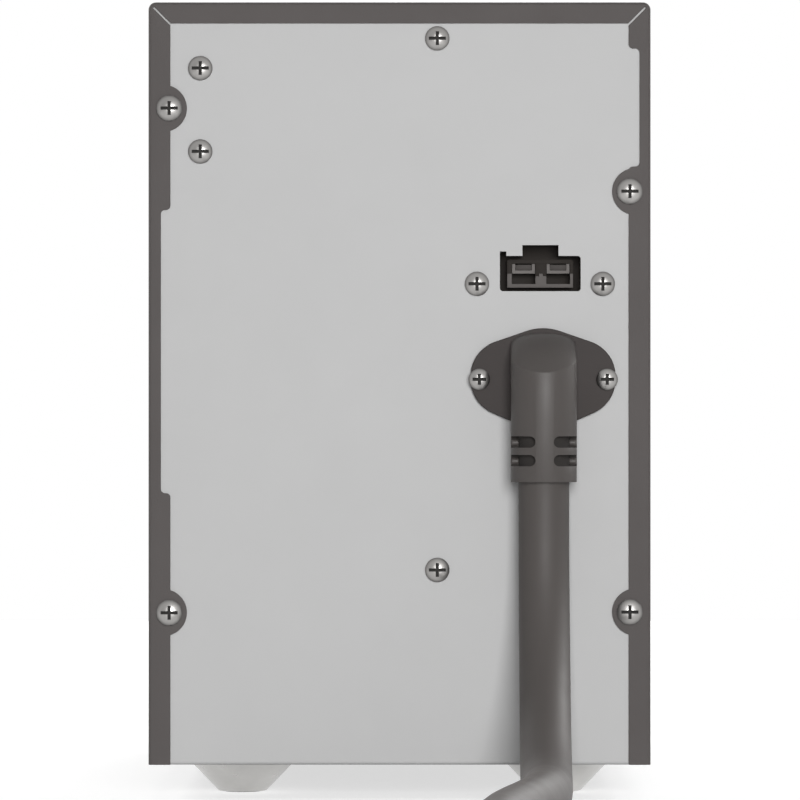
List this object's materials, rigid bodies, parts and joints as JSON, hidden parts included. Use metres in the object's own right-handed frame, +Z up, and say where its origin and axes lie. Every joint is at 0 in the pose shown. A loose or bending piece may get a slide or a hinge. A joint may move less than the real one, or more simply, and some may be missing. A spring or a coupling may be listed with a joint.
{
  "type": "ups external battery module",
  "caption": "Tower cabinet of sealed batteries for an uninterruptible power supply, with a battery socket, an angled cable entry and a cable with its plug.",
  "frame": {"origin": "middle of the footprint at the floor, measured without the free cable and its plug; the cable entry at the back counts", "axes": "+X to the right as the back is seen, +Y from the rear panel towards the front bezel, +Z up"},
  "size_m": [0.214, 0.8398, 0.339],
  "materials": {
    "cover_paint": "fine textured dark grey powder coat",
    "panel_paint": "smooth light grey powder coat",
    "plated_steel": "bright zinc plating on folded sheet",
    "screw_steel": "nickel-plated steel",
    "bezel_plastic": "fine grained dark moulding",
    "socket_plastic": "black flame-retardant moulding",
    "entry_plastic": "dark grey moulding",
    "cable_jacket": "matt dark grey jacket",
    "plug_plastic": "dark moulding with a fine grain",
    "contact_metal": "tin-plated copper alloy",
    "foot_metal": "turned and satin anodised",
    "pad_rubber": "soft black rubber",
    "battery_case": "moulded battery case",
    "link_copper": "plain copper strip",
    "insulation_film": "pressed insulating board",
    "fuse_base": "moulded fuse base",
    "fuse_body": "white ceramic barrel",
    "pad_foam": "closed-cell foam"
  },
  "bodies": {
    "root": {"wrap_cover": "cover_paint", "chassis_pan": "panel_paint", "front_plate": "plated_steel", "front_bezel": "bezel_plastic", "socket_housing": "socket_plastic", "socket_contact_left": "contact_metal", "socket_contact_right": "contact_metal", "socket_bracket": "plated_steel", "cable_elbow": "entry_plastic", "battery_cable": "cable_jacket", "plug_boot": "plug_plastic", "plug_housing": "plug_plastic", "plug_blade_left": "contact_metal", "plug_blade_right": "contact_metal", "battery_links": "link_copper", "insulating_sheet": "insulation_film", "battery_shelf": "plated_steel", "battery_hold_down": "plated_steel", "battery_stop": "plated_steel", "fuse_bracket": "plated_steel", "fuse_block": "fuse_base", "fuses": "fuse_body", "foam_pad": "pad_foam", "cover_screws": "screw_steel", "panel_screws": "screw_steel", "entry_screws": "screw_steel", "foot_screws": "screw_steel", "shelf_screws": "screw_steel", "hold_down_screws": "screw_steel", "front_plate_screws": "screw_steel", "foot_rear_left": "foot_metal", "foot_pad_rear_left": "pad_rubber", "foot_rear_right": "foot_metal", "foot_pad_rear_right": "pad_rubber", "foot_front_left": "foot_metal", "foot_pad_front_left": "pad_rubber", "foot_front_right": "foot_metal", "foot_pad_front_right": "pad_rubber", "battery_01": "battery_case", "battery_02": "battery_case", "battery_03": "battery_case", "battery_04": "battery_case", "battery_05": "battery_case", "battery_06": "battery_case", "battery_07": "battery_case", "battery_08": "battery_case", "battery_09": "battery_case", "battery_10": "battery_case", "battery_11": "battery_case", "battery_12": "battery_case", "battery_13": "battery_case", "battery_14": "battery_case", "battery_15": "battery_case", "battery_16": "battery_case"}
  },
  "joints": []
}
